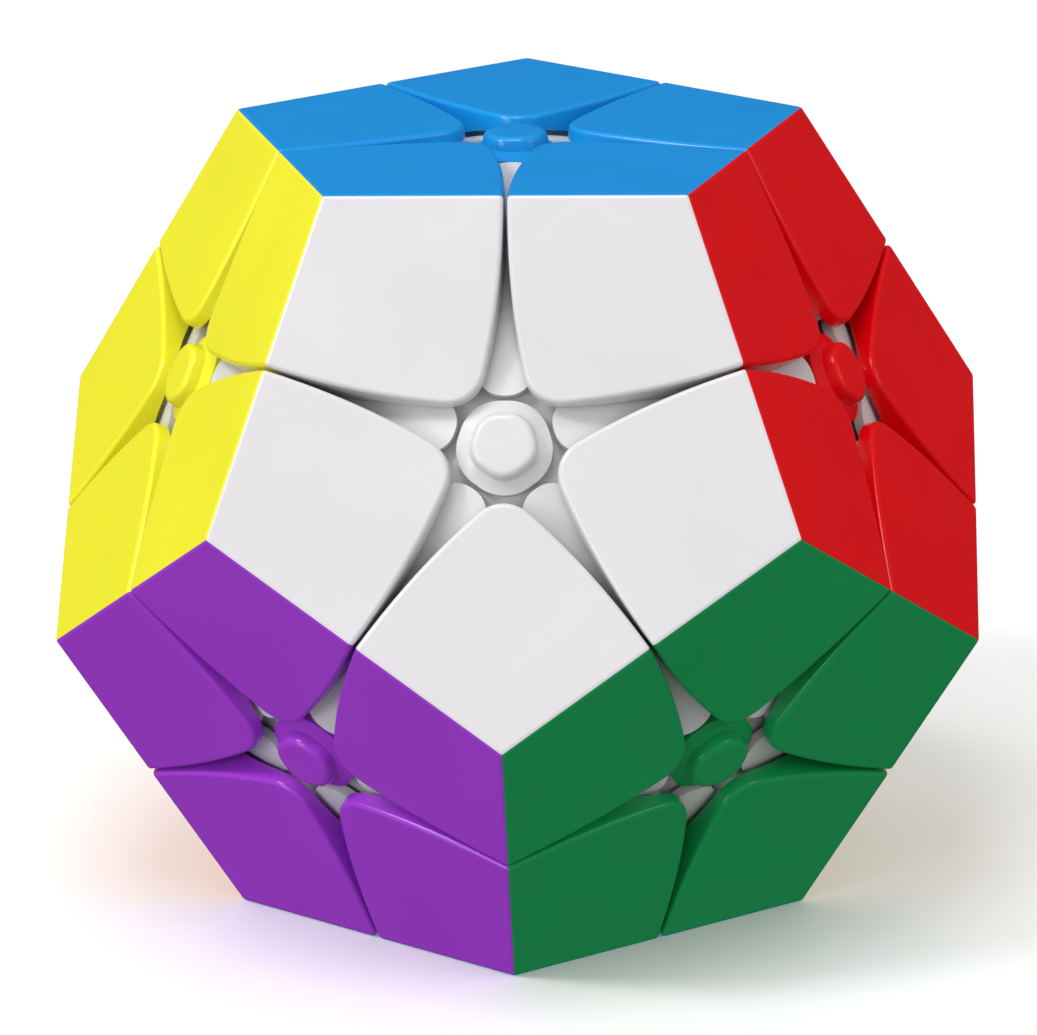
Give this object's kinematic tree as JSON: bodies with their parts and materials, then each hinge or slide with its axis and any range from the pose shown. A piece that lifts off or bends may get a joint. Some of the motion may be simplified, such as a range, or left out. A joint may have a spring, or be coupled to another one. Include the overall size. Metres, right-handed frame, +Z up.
{
  "type": "dodecahedron twisty puzzle",
  "caption": "Stickerless twisty puzzle in the shape of a dodecahedron: a coloured turning layer under each face, made of kite-shaped corners around a small round centre.",
  "frame": {"origin": "middle of the face that the puzzle stands on (light blue)", "axes": "+Z up through the blue face opposite, -Y towards the white face of the upper ring, +X to the right when looking along +Y"},
  "size_m": [0.0764, 0.0804, 0.065],
  "materials": {
    "blue_tile": "satin moulded ABS",
    "white_tile": "satin moulded ABS",
    "red_tile": "satin moulded ABS",
    "pink_tile": "satin moulded ABS",
    "lime_tile": "satin moulded ABS",
    "yellow_tile": "satin moulded ABS",
    "green_tile": "satin moulded ABS",
    "cream_tile": "satin moulded ABS",
    "grey_tile": "satin moulded ABS",
    "orange_tile": "satin moulded ABS",
    "purple_tile": "satin moulded ABS",
    "light_blue_tile": "satin moulded ABS",
    "inner_plastic": "satin moulded ABS, off-white",
    "core_plastic": "matt moulded nylon"
  },
  "bodies": {
    "core_and_held_pieces": {"core": "core_plastic", "inner_edge_blue_red": "inner_plastic", "inner_edge_blue_lime": "inner_plastic", "inner_edge_blue_yellow": "inner_plastic", "inner_edge_red_green": "inner_plastic", "inner_edge_red_cream": "inner_plastic", "inner_edge_lime_yellow": "inner_plastic", "inner_edge_yellow_orange": "inner_plastic", "inner_edge_yellow_purple": "inner_plastic", "inner_edge_green_cream": "inner_plastic", "inner_edge_green_purple": "inner_plastic", "inner_edge_cream_grey": "inner_plastic", "inner_edge_orange_purple": "inner_plastic", "corner_blue_lime_yellow": "blue_tile", "corner_red_green_cream": "red_tile", "corner_lime_yellow_orange": "lime_tile", "corner_lime_grey_orange": "lime_tile", "corner_yellow_orange_purple": "yellow_tile"},
    "white_layer": {"centre_white": "white_tile", "corner_blue_white_red": "blue_tile", "corner_blue_white_yellow": "blue_tile", "corner_white_red_green": "white_tile", "corner_white_yellow_purple": "white_tile", "corner_white_green_purple": "white_tile", "inner_edge_blue_white": "inner_plastic", "inner_edge_white_red": "inner_plastic", "inner_edge_white_yellow": "inner_plastic", "inner_edge_white_green": "inner_plastic", "inner_edge_white_purple": "inner_plastic"},
    "pink_layer": {"centre_pink": "pink_tile", "corner_blue_red_pink": "blue_tile", "corner_blue_pink_lime": "blue_tile", "corner_red_pink_cream": "red_tile", "corner_pink_lime_grey": "pink_tile", "corner_pink_cream_grey": "pink_tile", "inner_edge_blue_pink": "inner_plastic", "inner_edge_red_pink": "inner_plastic", "inner_edge_pink_lime": "inner_plastic", "inner_edge_pink_cream": "inner_plastic", "inner_edge_pink_grey": "inner_plastic"},
    "light_blue_layer": {"centre_light_blue": "light_blue_tile", "corner_green_cream_light_blue": "green_tile", "corner_green_purple_light_blue": "green_tile", "corner_cream_grey_light_blue": "cream_tile", "corner_grey_orange_light_blue": "grey_tile", "corner_orange_purple_light_blue": "orange_tile", "inner_edge_green_light_blue": "inner_plastic", "inner_edge_cream_light_blue": "inner_plastic", "inner_edge_grey_light_blue": "inner_plastic", "inner_edge_orange_light_blue": "inner_plastic", "inner_edge_purple_light_blue": "inner_plastic"},
    "blue_centre": {"centre_blue": "blue_tile"},
    "red_centre": {"centre_red": "red_tile"},
    "lime_centre": {"centre_lime": "lime_tile"},
    "yellow_centre": {"centre_yellow": "yellow_tile"},
    "green_centre": {"centre_green": "green_tile"},
    "cream_centre": {"centre_cream": "cream_tile"},
    "grey_centre": {"centre_grey": "grey_tile"},
    "orange_centre": {"centre_orange": "orange_tile"},
    "purple_centre": {"centre_purple": "purple_tile"}
  },
  "joints": [
    {"name": "layer_turn_white", "type": "hinge", "parent": "core_and_held_pieces", "child": "white_layer", "pos_m": [0, 0, 0.0325], "axis": [0, -0.8944, 0.4472], "continuous": true},
    {"name": "layer_turn_pink", "type": "hinge", "parent": "core_and_held_pieces", "child": "pink_layer", "pos_m": [0, 0, 0.0325], "axis": [0.5257, 0.7236, 0.4472], "continuous": true},
    {"name": "layer_turn_light_blue", "type": "hinge", "parent": "core_and_held_pieces", "child": "light_blue_layer", "pos_m": [0, 0, 0.0325], "axis": [0, 0, -1], "continuous": true},
    {"name": "spin_of_centre_blue", "type": "hinge", "parent": "core_and_held_pieces", "child": "blue_centre", "pos_m": [0, 0, 0.0325], "axis": [0, 0, 1], "continuous": true},
    {"name": "spin_of_centre_red", "type": "hinge", "parent": "core_and_held_pieces", "child": "red_centre", "pos_m": [0, 0, 0.0325], "axis": [0.8507, -0.2764, 0.4472], "continuous": true},
    {"name": "spin_of_centre_lime", "type": "hinge", "parent": "core_and_held_pieces", "child": "lime_centre", "pos_m": [0, 0, 0.0325], "axis": [-0.5257, 0.7236, 0.4472], "continuous": true},
    {"name": "spin_of_centre_yellow", "type": "hinge", "parent": "core_and_held_pieces", "child": "yellow_centre", "pos_m": [0, 0, 0.0325], "axis": [-0.8507, -0.2764, 0.4472], "continuous": true},
    {"name": "spin_of_centre_green", "type": "hinge", "parent": "core_and_held_pieces", "child": "green_centre", "pos_m": [0, 0, 0.0325], "axis": [0.5257, -0.7236, -0.4472], "continuous": true},
    {"name": "spin_of_centre_cream", "type": "hinge", "parent": "core_and_held_pieces", "child": "cream_centre", "pos_m": [0, 0, 0.0325], "axis": [0.8507, 0.2764, -0.4472], "continuous": true},
    {"name": "spin_of_centre_grey", "type": "hinge", "parent": "core_and_held_pieces", "child": "grey_centre", "pos_m": [0, 0, 0.0325], "axis": [0, 0.8944, -0.4472], "continuous": true},
    {"name": "spin_of_centre_orange", "type": "hinge", "parent": "core_and_held_pieces", "child": "orange_centre", "pos_m": [0, 0, 0.0325], "axis": [-0.8507, 0.2764, -0.4472], "continuous": true},
    {"name": "spin_of_centre_purple", "type": "hinge", "parent": "core_and_held_pieces", "child": "purple_centre", "pos_m": [0, 0, 0.0325], "axis": [-0.5257, -0.7236, -0.4472], "continuous": true}
  ]
}
